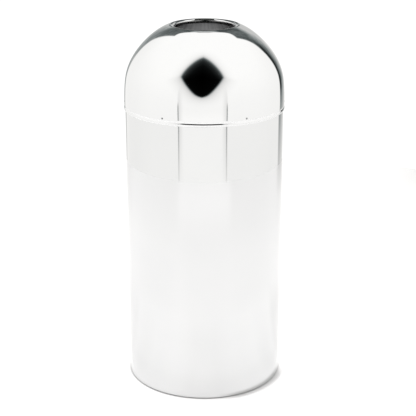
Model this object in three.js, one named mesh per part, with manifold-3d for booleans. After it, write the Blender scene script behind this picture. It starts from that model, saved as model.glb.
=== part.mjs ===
// Open-mouth dome-top waste bin with a lift-out liner.
// Millimetres, +Z up, front faces -Y, foot ring stands on z = 0.
import * as THREE from 'three';
import { mergeVertices } from 'three/addons/utils/BufferGeometryUtils.js';
import Module from 'manifold-3d';

const wasm = await Module();
wasm.setup();

// ---------- driving dimensions ----------
const SEG = 64;                 // steps round every turned part
const GAP = 0.3;                // clearance between neighbouring pieces

const BODY_R = 190.5;           // outside radius of the body (15 in diameter)
const BODY_T = 1.0;             // body sheet
const BODY_Z0 = 1.8;            // foot edge of the body sheet
const BODY_Z1 = 686.9;          // mouth edge of the body sheet
const SEAM_W = 9;               // width of the folded seam inside the back
const SEAM_T = 1.8;             // thickness of the folded seam

const FOOT_RO = 184;            // foot ring
const FOOT_RI = 162;
const FOOT_H = 10;
const BASE_T = 1.2;             // base plate sheet
const BASE_R = BODY_R - BODY_T - GAP;
const BASE_Z = FOOT_H + GAP;    // underside of the base plate
const BASE_FLANGE_Z = 3;        // lower edge of the base plate flange

const DOME_T = 1.0;             // dome sheet
const SKIRT_R = 193.0;          // outside radius of the skirt, just above the groove
const DOME_Z0 = BODY_Z1 + GAP;  // foot edge of the dome
const DOME_H = 886.9;           // crest of the mouth lip, overall height
const LIP_CREST_R = 80.87;      // radius of the ring the crest stands on
const LIP_RADIUS = 12;          // broad rounding over the crest
const LIP_LEAN = 37;            // degrees the crest leans into the mouth before the tight roll
const LIP_ROLL = 3;             // tight roll down into the mouth
const LIP_WALL = 2.6;           // straight edge below the roll
const BEAD_R = 193.2;           // crest of the bead round the foot of the skirt
const BEAD_Z = 691.6;
const GROOVE_R = 192.0;         // groove between bead and skirt
const GROOVE_Z = 694.1;
// outside of the skirt and crown, which draws in slowly and then turns over to the lip
const CROWN = [
  [192.87, 716.0], [192.29, 732.0], [191.17, 748.0], [189.32, 762.0],
  [186.15, 776.0], [180.92, 791.0], [173.07, 807.0], [162.81, 823.0],
  [150.00, 839.0], [135.30, 854.0], [119.58, 867.0], [103.41, 877.5], [94.10, 882.4],
];

const BAND_T = 1.0;             // locating band inside the skirt
const BAND_R = 191.3;           // its outside radius against the skirt
const BAND_PLUG_R = 188.8;      // its outside radius inside the body mouth
const BAND_TOP = 712;
const BAND_FOOT = 666;
const RIVET_Z = 701;            // height of the band rivets
const RIVET_AZ = [-30, 30, 90, 150, 210, 270];   // degrees from the front
const RIVET_SHANK = 1.5;        // shank radius
const RIVET_HEAD = 2.4;         // head radius

const LINER_R = 171.5;          // outside radius of the liner (13.5 in diameter)
const LINER_T = 0.8;
const LINER_Z0 = BASE_Z + BASE_T + GAP;
const LINER_Z1 = 630;           // top of the rolled rim
const RIM_WIRE_R = 1.5;         // radius of the wire in the rim
const LINER_FLOOR_Z = LINER_Z0 + 8;   // top of the liner bottom

const EAR_W = 28;               // ear strap width
const EAR_T = 2;                // ear strap thickness
const EAR_X = 167.5;            // inside face of the strap
const EAR_Z0 = 590;             // foot of the strap
const PIVOT_Z = 641;            // hinge line of the bail
const BAIL_R = 181;             // centre-line radius of the bail
const BAIL_WIRE = 2.5;          // radius of the bail wire
const BAIL_DROP = 15;           // degrees the folded bail hangs below level
const BAIL_HOLE = 3.3;          // radius of the ear hole
const BAIL_END_X = 160;         // inner end of the hooked wire

const rad = (d) => d * Math.PI / 180;

// ---------- helpers ----------
const mat = (color, metalness, roughness, name) => {
  const m = new THREE.MeshStandardMaterial({ color, metalness, roughness });
  m.name = name;
  return m;
};

// turned solid about Z from a closed [r, z] outline
function turned(outline, seg = SEG) {
  let area = 0;
  for (let i = 0; i < outline.length; i++) {
    const [a, b] = outline[i], [c, d] = outline[(i + 1) % outline.length];
    area += a * d - c * b;
  }
  const pts = area > 0 ? outline.slice() : outline.slice().reverse();
  const onAxis = pts.filter((p) => p[0] < 1e-6).length;
  let path;
  if (onAxis >= 2) {
    // start the outline on the axis, at its lower end
    let k = pts.findIndex((p, i) => p[0] < 1e-6 && pts[(i + 1) % pts.length][0] > 1e-6);
    path = pts.slice(k).concat(pts.slice(0, k));
  } else {
    path = pts.concat([pts[0]]);
  }
  const g = new THREE.LatheGeometry(path.map(([r, z]) => new THREE.Vector2(Math.max(r, 0), z)), seg);
  g.rotateX(Math.PI / 2);
  return clean(g);
}

// welded copy of a geometry with outward faces
function clean(g) {
  const c = g.clone();
  c.deleteAttribute('normal');
  c.deleteAttribute('uv');
  let m = mergeVertices(c, 1e-4);
  // drop triangles that collapsed on the axis
  const idx = m.index.array, keep = [];
  for (let i = 0; i < idx.length; i += 3) {
    const [a, b, d] = [idx[i], idx[i + 1], idx[i + 2]];
    if (a !== b && b !== d && a !== d) keep.push(a, b, d);
  }
  m.setIndex(keep);
  const p = m.attributes.position;
  let v = 0;
  const A = new THREE.Vector3(), B = new THREE.Vector3(), C = new THREE.Vector3();
  for (let i = 0; i < keep.length; i += 3) {
    A.fromBufferAttribute(p, keep[i]); B.fromBufferAttribute(p, keep[i + 1]); C.fromBufferAttribute(p, keep[i + 2]);
    v += A.dot(B.cross(C));
  }
  if (v < 0) {
    for (let i = 0; i < keep.length; i += 3) [keep[i + 1], keep[i + 2]] = [keep[i + 2], keep[i + 1]];
    m.setIndex(keep);
  }
  return m;
}

const toSolid = (g) => new wasm.Manifold(new wasm.Mesh({
  numProp: 3,
  vertProperties: new Float32Array(g.attributes.position.array),
  triVerts: new Uint32Array(g.index.array),
}));

function fromSolid(s) {
  const m = s.getMesh();
  const n = m.numProp, count = m.vertProperties.length / n;
  const pos = new Float32Array(count * 3);
  for (let i = 0; i < count; i++) for (let k = 0; k < 3; k++) pos[i * 3 + k] = m.vertProperties[i * n + k];
  const g = new THREE.BufferGeometry();
  g.setAttribute('position', new THREE.BufferAttribute(pos, 3));
  g.setIndex(Array.from(m.triVerts));
  return g;
}

const cut = (g, ...tools) => fromSolid(tools.reduce((s, t) => s.subtract(toSolid(t)), toSolid(g)));
const join = (g, ...others) => fromSolid(others.reduce((s, t) => s.add(toSolid(t)), toSolid(g)));

// sheet section: a path along its outside face, thickened to one side by t
function sheet(path, t, side = 1) {
  const inner = path.map((p, i) => {
    const a = path[Math.max(i - 1, 0)], b = path[Math.min(i + 1, path.length - 1)];
    const n1 = i > 0 ? unit(p[0] - a[0], p[1] - a[1]) : null;
    const n2 = i < path.length - 1 ? unit(b[0] - p[0], b[1] - p[1]) : null;
    const u = n1 && n2 ? unit(n1[0] + n2[0], n1[1] + n2[1]) : (n1 || n2);
    const ref = n1 || n2;
    const c = Math.max(0.5, u[0] * ref[0] + u[1] * ref[1]);
    return [p[0] - side * u[1] * t / c, p[1] + side * u[0] * t / c];
  });
  return path.concat(inner.reverse());
}
function unit(x, y) {
  const l = Math.hypot(x, y);
  return [x / l, y / l];
}

// small turned part whose axis points outward from the bin at the given azimuth
// (0 = front, angles grow towards +X); outline is [radius, distance from the bin axis]
function radial(outline, azDeg, z, seg = 12) {
  const g = turned(outline, seg);
  g.rotateX(Math.PI / 2);                    // +Z -> -Y (front)
  g.rotateZ(rad(azDeg));
  g.translate(0, 0, z);
  return clean(g);
}

function box(x0, x1, y0, y1, z0, z1) {
  const g = new THREE.BoxGeometry(x1 - x0, y1 - y0, z1 - z0);
  g.translate((x0 + x1) / 2, (y0 + y1) / 2, (z0 + z1) / 2);
  return clean(g);
}

// ---------- materials ----------
const polished = () => mat(0xdfe2e4, 1.0, 0.08, 'polished_stainless');
const dull = () => mat(0xb4b8ba, 1.0, 0.38, 'mill_stainless');
const zinc = () => mat(0x9fa4a6, 1.0, 0.48, 'galvanised_steel');
const wireZinc = () => mat(0xa9adaf, 1.0, 0.4, 'zinc_wire');
const blackRubber = () => mat(0x17181a, 0.0, 0.75, 'black_rubber');

const bin = new THREE.Group();
bin.name = 'dome_top_bin';
function put(name, g, m) {
  const out = g.index ? g.toNonIndexed() : g;
  const w = mergeVertices(out, 1e-4);
  w.computeVertexNormals();
  const mesh = new THREE.Mesh(w, m);
  mesh.name = name;
  bin.add(mesh);
}

// ---------- body ----------
{
  const r1 = BODY_R, r0 = BODY_R - BODY_T;
  const shell = turned([
    [r0, BODY_Z0 + 0.3], [r0 + 0.3, BODY_Z0], [r1 - 0.4, BODY_Z0], [r1, BODY_Z0 + 0.5],
    [r1, BODY_Z1 - 0.5], [r1 - 0.4, BODY_Z1], [r0 + 0.2, BODY_Z1], [r0, BODY_Z1 - 0.3],
  ]);
  // folded seam standing inward at the back of the rolled sheet
  const seam = box(-SEAM_W / 2, SEAM_W / 2, r0 - SEAM_T, r0 + 0.5, BASE_Z + BASE_T + 12, BAND_FOOT - 14);
  put('body_shell', join(shell, seam), polished());

  put('base_plate', turned([
    [0, BASE_Z], [BASE_R - BASE_T - 1.2, BASE_Z], [BASE_R - BASE_T, BASE_Z - 1.2],
    [BASE_R - BASE_T, BASE_FLANGE_Z], [BASE_R, BASE_FLANGE_Z],
    [BASE_R, BASE_Z + BASE_T - 2], [BASE_R - 2, BASE_Z + BASE_T], [0, BASE_Z + BASE_T],
  ]), dull());

  put('foot_ring', turned([
    [FOOT_RI, 0.8], [FOOT_RI + 0.8, 0], [FOOT_RO - 0.8, 0], [FOOT_RO, 0.8],
    [FOOT_RO, FOOT_H - 0.8], [FOOT_RO - 0.8, FOOT_H], [FOOT_RI + 0.8, FOOT_H], [FOOT_RI, FOOT_H - 0.8],
  ]), blackRubber());
}

// ---------- dome ----------
const rivetHole = (az, z, r, a, b) => radial([[0, a], [r, a], [r, b], [0, b]], az, z, 12);
{
  const path = [
    [BEAD_R - 0.4, DOME_Z0], [BEAD_R, BEAD_Z - 2.4], [BEAD_R, BEAD_Z], [BEAD_R - 0.4, BEAD_Z + 1.0],
    [GROOVE_R, GROOVE_Z], [SKIRT_R - 0.2, GROOVE_Z + 2.6], [SKIRT_R, GROOVE_Z + 5.0],
    ...CROWN,
  ];
  // lip: broad over the crest, leaning inward, then a tight roll down into the mouth
  const cz = DOME_H - LIP_RADIUS;
  for (const a of [69.2, 80, 90, 103, 116, 90 + LIP_LEAN]) path.push([LIP_CREST_R + LIP_RADIUS * Math.cos(rad(a)), cz + LIP_RADIUS * Math.sin(rad(a))]);
  const lean = rad(90 + LIP_LEAN), step = LIP_RADIUS - LIP_ROLL;
  const rx = LIP_CREST_R + step * Math.cos(lean), rz = cz + step * Math.sin(lean);
  for (const a of [145, 163, 180]) path.push([rx + LIP_ROLL * Math.cos(rad(a)), rz + LIP_ROLL * Math.sin(rad(a))]);
  path.push([rx - LIP_ROLL, rz - LIP_WALL]);
  const shell = turned(sheet(path, DOME_T, 1));
  put('dome_shell', cut(shell, ...RIVET_AZ.map((a) => rivetHole(a, RIVET_Z, RIVET_SHANK + GAP, 186, 196))), polished());

  const bandPath = [
    [BAND_PLUG_R - 1.6, BAND_FOOT], [BAND_PLUG_R, BAND_FOOT + 6], [BAND_PLUG_R, BODY_Z1 - 0.5],
    [BAND_R - 1.5, GROOVE_Z - 0.6], [BAND_R - 0.9, GROOVE_Z + 1.0], [BAND_R, GROOVE_Z + 5.0], [BAND_R, BAND_TOP - 4], [BAND_R - 0.4, BAND_TOP],
  ];
  const band = turned(sheet(bandPath, BAND_T, 1));
  put('locating_band', cut(band, ...RIVET_AZ.map((a) => rivetHole(a, RIVET_Z, RIVET_SHANK + GAP, 184, 196))), dull());

  const hi = SKIRT_R + GAP, lo = BAND_R - BAND_T - GAP - 0.9;
  RIVET_AZ.forEach((a, i) => {
    put(`band_rivet_${i + 1}`, radial([
      [0, lo - 1.2], [RIVET_HEAD - 0.9, lo - 1.1], [RIVET_HEAD - 0.2, lo - 0.6], [RIVET_HEAD, lo],
      [RIVET_SHANK, lo], [RIVET_SHANK, hi],
      [RIVET_HEAD, hi], [RIVET_HEAD - 0.4, hi + 0.4], [RIVET_HEAD - 1.3, hi + 0.7], [0, hi + 0.8],
    ], a, RIVET_Z, 12), dull());
  });
}

// ---------- liner ----------
const earRivetZ = [EAR_Z0 + 10, EAR_Z0 + 26];
{
  const r1 = LINER_R, r0 = LINER_R - LINER_T;
  const ci = RIM_WIRE_R + GAP, co = ci + LINER_T;
  const cr = r1 + ci, cz = LINER_Z1 - co;
  const outline = [[r0, LINER_Z0], [r1, LINER_Z0], [r1, cz]];
  // inside face of the curl, then back round its outside face
  const steps = [150, 108, 66, 24, -18, -60, -95];
  for (const a of steps) outline.push([cr + ci * Math.cos(rad(a)), cz + ci * Math.sin(rad(a))]);
  for (const a of steps.slice().reverse()) outline.push([cr + co * Math.cos(rad(a)), cz + co * Math.sin(rad(a))]);
  outline.push([r0, cz]);
  const wall = turned(outline);
  const holes = [];
  for (const az of [-90, 90]) for (const z of earRivetZ) holes.push(radial([[0, 160], [2.3, 160], [2.3, 180], [0, 180]], az, z, 12));
  put('liner_bucket', cut(wall, ...holes), zinc());

  put('liner_rim_wire', turned([0, 60, 120, 180, 240, 300].map((a) => [cr + RIM_WIRE_R * Math.cos(rad(a)), cz + RIM_WIRE_R * Math.sin(rad(a))])), wireZinc());

  const fr = r0 - GAP;
  put('liner_bottom', turned([
    [0, LINER_FLOOR_Z - LINER_T], [fr - LINER_T - 1, LINER_FLOOR_Z - LINER_T], [fr - LINER_T, LINER_FLOOR_Z - LINER_T - 1],
    [fr - LINER_T, LINER_Z0], [fr, LINER_Z0], [fr, LINER_FLOOR_Z - 2], [fr - 2, LINER_FLOOR_Z], [0, LINER_FLOOR_Z],
  ]), zinc());

  // ear straps: flat, rounded head round the bail hole
  for (const s of [-1, 1]) {
    const shape = new THREE.Shape();
    const w = EAR_W / 2, hr = 9;
    shape.moveTo(-w, EAR_Z0 + 3);
    shape.quadraticCurveTo(-w, EAR_Z0, -w + 3, EAR_Z0);
    shape.lineTo(w - 3, EAR_Z0);
    shape.quadraticCurveTo(w, EAR_Z0, w, EAR_Z0 + 3);
    shape.lineTo(w, LINER_Z1 - 10);
    shape.lineTo(hr, PIVOT_Z);
    shape.absarc(0, PIVOT_Z, hr, 0, Math.PI, false);
    shape.lineTo(-w, LINER_Z1 - 10);
    shape.closePath();
    const circle = (y, z, r) => {
      const h = new THREE.Path();
      h.absarc(y, z, r, 0, Math.PI * 2, true);
      return h;
    };
    shape.holes.push(circle(0, PIVOT_Z, BAIL_HOLE), circle(0, earRivetZ[0], 2.3), circle(0, earRivetZ[1], 2.3));
    const g = new THREE.ExtrudeGeometry(shape, { depth: EAR_T, bevelEnabled: false, curveSegments: 8 });
    g.rotateX(Math.PI / 2);                  // shape plane becomes XZ
    g.rotateZ(Math.PI / 2);                  // and then YZ
    g.computeBoundingBox();
    const bb = g.boundingBox;
    g.translate(-bb.min.x + (s > 0 ? EAR_X : -EAR_X - EAR_T), 0, 0);
    put(s < 0 ? 'liner_ear_left' : 'liner_ear_right', clean(g), zinc());
  }
  let n = 0;
  for (const az of [-90, 90]) for (const z of earRivetZ) {
    n += 1;
    put(`ear_rivet_${n}`, radial([
      [0, EAR_X - 1.9], [2.4, EAR_X - 1.6], [3.8, EAR_X - GAP],
      [2, EAR_X - GAP], [2, LINER_R + GAP],
      [3.8, LINER_R + GAP], [2.4, LINER_R + 1.6], [0, LINER_R + 1.9],
    ], az, z, 12), zinc());
  }

  // bail: half ring with its ends hooked inward through the ears
  const pts = [];
  const drop = rad(BAIL_DROP);
  const at = (phi) => new THREE.Vector3(BAIL_R * Math.cos(phi), BAIL_R * Math.sin(phi) * Math.cos(drop), PIVOT_Z - BAIL_R * Math.sin(phi) * Math.sin(drop));
  const hook = (s) => {
    const y = (d) => d * Math.cos(drop), z = (d) => PIVOT_Z - d * Math.sin(drop);
    return [new THREE.Vector3(s * BAIL_END_X, 0, PIVOT_Z), new THREE.Vector3(s * 168, 0, PIVOT_Z), new THREE.Vector3(s * 175, 0, PIVOT_Z),
      new THREE.Vector3(s * 179.2, y(1.6), z(1.6)), new THREE.Vector3(s * 180.7, y(6), z(6))];
  };
  pts.push(...hook(1));
  for (let i = 1; i < 24; i++) pts.push(at(Math.PI * (0.02 + 0.96 * (i / 24))));
  pts.push(...hook(-1).reverse());
  put('bail_handle', wire(pts, BAIL_WIRE, 8), wireZinc());
}

// round wire along a chain of points, closed at both ends
function wire(points, r, sides) {
  const pos = [], idx = [];
  let u = null;
  points.forEach((p, i) => {
    const a = points[Math.max(i - 1, 0)], b = points[Math.min(i + 1, points.length - 1)];
    const t = b.clone().sub(a).normalize();
    if (!u) u = new THREE.Vector3(0, 0, 1).cross(t).normalize();
    u.sub(t.clone().multiplyScalar(u.dot(t))).normalize();
    const w = t.clone().cross(u);
    for (let k = 0; k < sides; k++) {
      const q = 2 * Math.PI * k / sides;
      const v = p.clone().addScaledVector(u, r * Math.cos(q)).addScaledVector(w, r * Math.sin(q));
      pos.push(v.x, v.y, v.z);
    }
  });
  for (let i = 0; i < points.length - 1; i++) for (let k = 0; k < sides; k++) {
    const a = i * sides + k, b = i * sides + (k + 1) % sides, c = a + sides, d = b + sides;
    idx.push(a, b, d, a, d, c);
  }
  const last = (points.length - 1) * sides;
  for (let k = 1; k < sides - 1; k++) {
    idx.push(0, k + 1, k);
    idx.push(last, last + k, last + k + 1);
  }
  const g = new THREE.BufferGeometry();
  g.setAttribute('position', new THREE.BufferAttribute(new Float32Array(pos), 3));
  g.setIndex(idx);
  return clean(g);
}

export default bin;
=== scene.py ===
import math

import bpy
import numpy as np
from mathutils import Matrix, Vector


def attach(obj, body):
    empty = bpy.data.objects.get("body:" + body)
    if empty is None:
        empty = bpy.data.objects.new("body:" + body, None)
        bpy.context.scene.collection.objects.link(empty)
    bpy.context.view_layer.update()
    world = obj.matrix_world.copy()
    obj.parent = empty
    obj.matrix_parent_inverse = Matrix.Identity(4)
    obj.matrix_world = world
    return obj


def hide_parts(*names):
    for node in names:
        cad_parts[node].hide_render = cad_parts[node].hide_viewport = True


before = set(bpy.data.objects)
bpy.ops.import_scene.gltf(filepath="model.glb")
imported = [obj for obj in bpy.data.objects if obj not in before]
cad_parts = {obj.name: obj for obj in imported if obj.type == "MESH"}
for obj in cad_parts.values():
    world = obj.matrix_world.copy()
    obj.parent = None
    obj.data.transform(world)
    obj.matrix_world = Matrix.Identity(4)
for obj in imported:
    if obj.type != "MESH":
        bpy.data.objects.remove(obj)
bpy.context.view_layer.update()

MM = 0.001
scene = bpy.context.scene

# ------------------------------------------------------------------ sizes (mm), as in the CAD source
BODY_R, BODY_T, BODY_Z0, BODY_Z1 = 190.5, 1.0, 1.8, 686.9
SEAM_W, SEAM_T = 9.0, 1.8
FOOT_RO, FOOT_RI, FOOT_H = 184.0, 162.0, 10.0
BASE_T, GAP = 1.2, 0.3
BASE_R = BODY_R - BODY_T - GAP
BASE_Z = FOOT_H + GAP
DOME_T, DOME_Z0, DOME_H, MOUTH_R, LIP_DROP, LIP_R = 1.0, 687.2, 886.0, 79.5, 11.0, 4.0
BEAD_R, BEAD_Z, GROOVE_R, GROOVE_Z, SKIRT_R = 193.2, 691.6, 192.0, 694.1, 193.0
CREST_R, ROLL_R, ROLL_FROM = 12.0, 3.0, 37.0      # lip: broad crest, then a tight roll into the mouth
BAND_T, BAND_R, BAND_PLUG_R, BAND_TOP, BAND_FOOT = 1.0, 191.3, 188.8, 712.0, 666.0
RIVET_Z, RIVET_AZ, RIVET_SHANK, RIVET_HEAD = 701.0, (-30, 30, 90, 150, 210, 270), 1.5, 2.4
LINER_R, LINER_T, LINER_Z0, LINER_Z1 = 171.5, 0.8, 11.8, 630.0
RIM_WIRE_R = 1.5
LINER_FLOOR_Z = LINER_Z0 + 8.0
EAR_W, EAR_T, EAR_X, EAR_Z0 = 28.0, 2.0, 167.5, 590.0
PIVOT_Z, BAIL_R, BAIL_WIRE, BAIL_DROP, BAIL_HOLE, BAIL_END_X = 641.0, 181.0, 2.5, 15.0, 3.3, 160.0
EAR_RIVET_Z = (EAR_Z0 + 10, EAR_Z0 + 26)

# crown outline: its curvature along its length, from the skirt to the lip
CROWN_START = (193.03, 703.21)
CROWN_LEN = 227.53
CROWN_U = (0, .12, .28, .45, .62, .8, 1.0)
CROWN_K = (0.42515, 0.34153, 1.3361, 1.23503, 0.92216, 1.0487, 1.54313)   # per 190.5 mm


# ------------------------------------------------------------------ node helpers
class Nodes:
    """Small arithmetic over a node tree."""

    def __init__(self, tree):
        self.t = tree

    def new(self, kind, **props):
        n = self.t.nodes.new(kind)
        for k, v in props.items():
            setattr(n, k, v)
        return n

    def put(self, sock, v):
        if isinstance(v, bpy.types.NodeSocket):
            self.t.links.new(v, sock)
        elif v is not None:
            sock.default_value = v

    def m(self, op, a, b=None, c=None, clamp=False):
        n = self.new("ShaderNodeMath", operation=op, use_clamp=clamp)
        for s, v in zip(n.inputs, (a, b, c)):
            self.put(s, v)
        return n.outputs[0]

    def add(self, a, b): return self.m("ADD", a, b)
    def sub(self, a, b): return self.m("SUBTRACT", a, b)
    def mul(self, a, b): return self.m("MULTIPLY", a, b)
    def div(self, a, b): return self.m("DIVIDE", a, b)
    def abs(self, a): return self.m("ABSOLUTE", a)
    def pow(self, a, b): return self.m("POWER", a, b)
    def inv(self, a): return self.m("SUBTRACT", 1.0, a)

    def step(self, x, lo, hi, a=0.0, b=1.0):
        n = self.new("ShaderNodeMapRange", interpolation_type="SMOOTHSTEP", clamp=True)
        self.put(n.inputs["Value"], x)
        for k, v in (("From Min", lo), ("From Max", hi), ("To Min", a), ("To Max", b)):
            self.put(n.inputs[k], v)
        return n.outputs["Result"]

    def lin(self, x, lo, hi, a=0.0, b=1.0):
        n = self.new("ShaderNodeMapRange", interpolation_type="LINEAR", clamp=True)
        self.put(n.inputs["Value"], x)
        for k, v in (("From Min", lo), ("From Max", hi), ("To Min", a), ("To Max", b)):
            self.put(n.inputs[k], v)
        return n.outputs["Result"]

    def mix(self, f, a, b):
        n = self.new("ShaderNodeMix", data_type="FLOAT")
        self.put(n.inputs[0], f)
        self.put(n.inputs[2], a)
        self.put(n.inputs[3], b)
        return n.outputs[0]

    def mixc(self, f, a, b, blend="MIX"):
        n = self.new("ShaderNodeMix", data_type="RGBA", blend_type=blend)
        self.put(n.inputs[0], f)
        self.put(n.inputs[6], a)
        self.put(n.inputs[7], b)
        return n.outputs[2]

    def curve(self, x, points):
        """Piecewise-linear value through (position 0..1, value) points."""
        n = self.new("ShaderNodeValToRGB")
        el = n.color_ramp.elements
        n.color_ramp.interpolation = "LINEAR"
        while len(el) > 1:
            el.remove(el[-1])
        el[0].position, el[0].color = points[0][0], (points[0][1],) * 3 + (1,)
        for p, v in points[1:]:
            e = el.new(p)
            e.color = (v,) * 3 + (1,)
        self.put(n.inputs[0], x)
        return n.outputs[0]

    def ramp(self, x, stops):
        n = self.new("ShaderNodeValToRGB")
        el = n.color_ramp.elements
        while len(el) > 1:
            el.remove(el[-1])
        el[0].position, el[0].color = stops[0][0], tuple(stops[0][1]) + (1,)
        for p, c in stops[1:]:
            e = el.new(p)
            e.color = tuple(c) + (1,)
        self.put(n.inputs[0], x)
        return n.outputs[0]

    def dot(self, v, w):
        n = self.new("ShaderNodeVectorMath", operation="DOT_PRODUCT")
        self.put(n.inputs[0], v)
        self.put(n.inputs[1], w)
        return n.outputs["Value"]

    def split(self, v):
        n = self.new("ShaderNodeSeparateXYZ")
        self.put(n.inputs[0], v)
        return n.outputs

    def join(self, x, y, z):
        n = self.new("ShaderNodeCombineXYZ")
        for s, v in zip(n.inputs, (x, y, z)):
            self.put(s, v)
        return n.outputs[0]

    def noise(self, vec, scale, detail=3.0, rough=0.55, out="Fac", w=None):
        n = self.new("ShaderNodeTexNoise")
        if w is not None:
            n.noise_dimensions = "4D"
            n.inputs["W"].default_value = w
        self.put(n.inputs["Vector"], vec)
        n.inputs["Scale"].default_value = scale
        n.inputs["Detail"].default_value = detail
        n.inputs["Roughness"].default_value = rough
        return n.outputs[out]

    def voronoi(self, vec, scale, feature="F1", out="Color", randomness=1.0):
        n = self.new("ShaderNodeTexVoronoi", feature=feature)
        self.put(n.inputs["Vector"], vec)
        n.inputs["Scale"].default_value = scale
        n.inputs["Randomness"].default_value = randomness
        return n.outputs[out]


def material(name, metallic=0.0, base=(0.8, 0.8, 0.8), rough=0.5):
    mat = bpy.data.materials.new(name)
    mat.use_nodes = True
    t = mat.node_tree
    bsdf = next(n for n in t.nodes if n.type == "BSDF_PRINCIPLED")
    bsdf.inputs["Metallic"].default_value = metallic
    bsdf.inputs["Base Color"].default_value = tuple(base) + (1,)
    bsdf.inputs["Roughness"].default_value = rough
    mat.diffuse_color = tuple(base) + (1,)
    mat.metallic, mat.roughness = metallic, rough
    return mat, Nodes(t), bsdf


def bump(N, bsdf, height, strength, distance):
    b = N.new("ShaderNodeBump")
    b.inputs["Strength"].default_value = strength
    b.inputs["Distance"].default_value = distance
    N.put(b.inputs["Height"], height)
    N.put(bsdf.inputs["Normal"], b.outputs[0])


def object_xyz(N):
    return N.new("ShaderNodeTexCoord").outputs["Object"]


def polar(N):
    """Unit direction from the bin's axis and the height, for patterns that run round or along turned sheet."""
    x, y, z = N.split(object_xyz(N))
    r = N.m("SQRT", N.add(N.add(N.mul(x, x), N.mul(y, y)), 1e-8))
    return N.div(x, r), N.div(y, r), z, r


# ------------------------------------------------------------------ materials
def polished(name, kind, k=1.0):
    """Mirror-polished stainless: faint buffing lines, smears and a few fine scratches."""
    mat, N, b = material(name, 1.0, (0.70, 0.704, 0.708), 0.05)
    cx, cy, z, r = polar(N)
    xyz = object_xyz(N)
    smear = N.noise(xyz, 5.5, 4.0, 0.6)
    cloud = N.step(smear, 0.42, 0.72)
    if kind == "dome":
        # buffing marks left by spinning: rings round the axis
        rings = N.noise(N.join(N.mul(cx, 0.35), N.mul(cy, 0.35), N.mul(z, 420.0)), 1.0, 4.0, 0.7)
    else:
        # sheet grain along the height of the rolled body
        rings = N.noise(N.join(N.mul(cx, 260.0), N.mul(cy, 260.0), N.mul(z, 2.2)), 1.0, 4.0, 0.7)
    line = N.step(rings, 0.52, 0.8)
    scratch_v = N.new("ShaderNodeMapping")
    scratch_v.inputs["Rotation"].default_value = (0.4, 0.9, 0.35)
    scratch_v.inputs["Scale"].default_value = (420.0, 9.0, 9.0)
    N.put(scratch_v.inputs["Vector"], xyz)
    scratch = N.step(N.noise(scratch_v.outputs[0], 1.0, 2.0, 0.5), 0.74, 0.80)
    rough = N.add(N.add(N.add(0.030, N.mul(cloud, 0.018)), N.mul(line, 0.016)), N.mul(scratch, 0.05))
    N.put(b.inputs["Roughness"], rough)
    tint = N.mixc(N.mul(cloud, 0.5), (0.706 * k, 0.708 * k, 0.710 * k, 1), (0.690 * k, 0.694 * k, 0.698 * k, 1))
    N.put(b.inputs["Base Color"], tint)
    bump(N, b, N.add(N.mul(rings, 0.6), N.mul(scratch, -0.5)), 0.012, 0.0002)
    return mat


def mill(name, kind, base=0.40, rough=0.36, metallic=1.0):
    """Unpolished stainless: dull, streaked by drawing and rolling, with water stains."""
    mat, N, b = material(name, metallic, (base, base, base * 1.01), rough)
    cx, cy, z, r = polar(N)
    xyz = object_xyz(N)
    if kind == "meridian":
        streak = N.noise(N.join(N.mul(cx, 26.0), N.mul(cy, 26.0), N.mul(z, 3.0)), 1.0, 5.0, 0.62)
        fine = N.noise(N.join(N.mul(cx, 150.0), N.mul(cy, 150.0), N.mul(z, 9.0)), 1.0, 3.0, 0.6)
    else:
        streak = N.noise(N.join(N.mul(cx, 2.0), N.mul(cy, 2.0), N.mul(z, 160.0)), 1.0, 5.0, 0.62)
        fine = N.noise(N.join(N.mul(cx, 6.0), N.mul(cy, 6.0), N.mul(z, 900.0)), 1.0, 3.0, 0.6)
    stain = N.noise(xyz, 11.0, 5.0, 0.6, w=3.0)
    dark, light = base * 0.62, base * 1.30
    col = N.ramp(N.add(N.mul(streak, 0.75), N.mul(stain, 0.25)),
                 [(0.30, (dark, dark, dark * 1.03)), (0.5, (base, base * 1.005, base * 1.015)), (0.72, (light, light, light))])
    N.put(b.inputs["Base Color"], col)
    N.put(b.inputs["Roughness"], N.add(N.lin(streak, 0.3, 0.7, rough - 0.07, rough + 0.08), N.mul(N.sub(fine, 0.5), 0.16)))
    bump(N, b, N.add(N.mul(fine, 0.7), N.mul(streak, 0.3)), 0.12, 0.0004)
    return mat


def galvanised(name):
    """Hot-dip zinc: spangle cells with different brightness and gloss, white bloom and dull stains."""
    mat, N, b = material(name, 1.0, (0.5, 0.52, 0.53), 0.42)
    xyz = object_xyz(N)
    warp = N.new("ShaderNodeVectorMath", operation="ADD")
    N.put(warp.inputs[0], xyz)
    wob = N.new("ShaderNodeVectorMath", operation="SCALE")
    N.put(wob.inputs[0], N.noise(xyz, 38.0, 3.0, 0.6, out="Color"))
    wob.inputs["Scale"].default_value = 0.012
    N.put(warp.inputs[1], wob.outputs[0])
    cell = N.voronoi(warp.outputs[0], 75.0, out="Color")
    cr, cg, cb = N.split(cell)
    feather = N.noise(N.join(N.add(N.mul(cr, 3.0), N.split(xyz)[0]), N.split(xyz)[1], N.add(N.mul(cg, 3.0), N.split(xyz)[2])), 240.0, 4.0, 0.65)
    bloom = N.step(N.noise(xyz, 6.0, 5.0, 0.62, w=1.7), 0.48, 0.72)
    level = N.add(N.mul(cr, 0.65), N.mul(feather, 0.35))
    col = N.ramp(level, [(0.1, (0.36, 0.385, 0.40)), (0.5, (0.47, 0.49, 0.50)), (0.9, (0.60, 0.615, 0.62))])
    col = N.mixc(N.mul(bloom, 0.45), col, (0.58, 0.59, 0.585, 1))
    N.put(b.inputs["Base Color"], col)
    N.put(b.inputs["Roughness"], N.add(N.add(0.30, N.mul(cg, 0.16)), N.mul(bloom, 0.12)))
    N.put(b.inputs["Metallic"], N.sub(1.0, N.mul(bloom, 0.25)))
    bump(N, b, N.add(N.mul(cb, 0.25), N.mul(feather, 0.75)), 0.10, 0.0005)
    return mat


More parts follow.
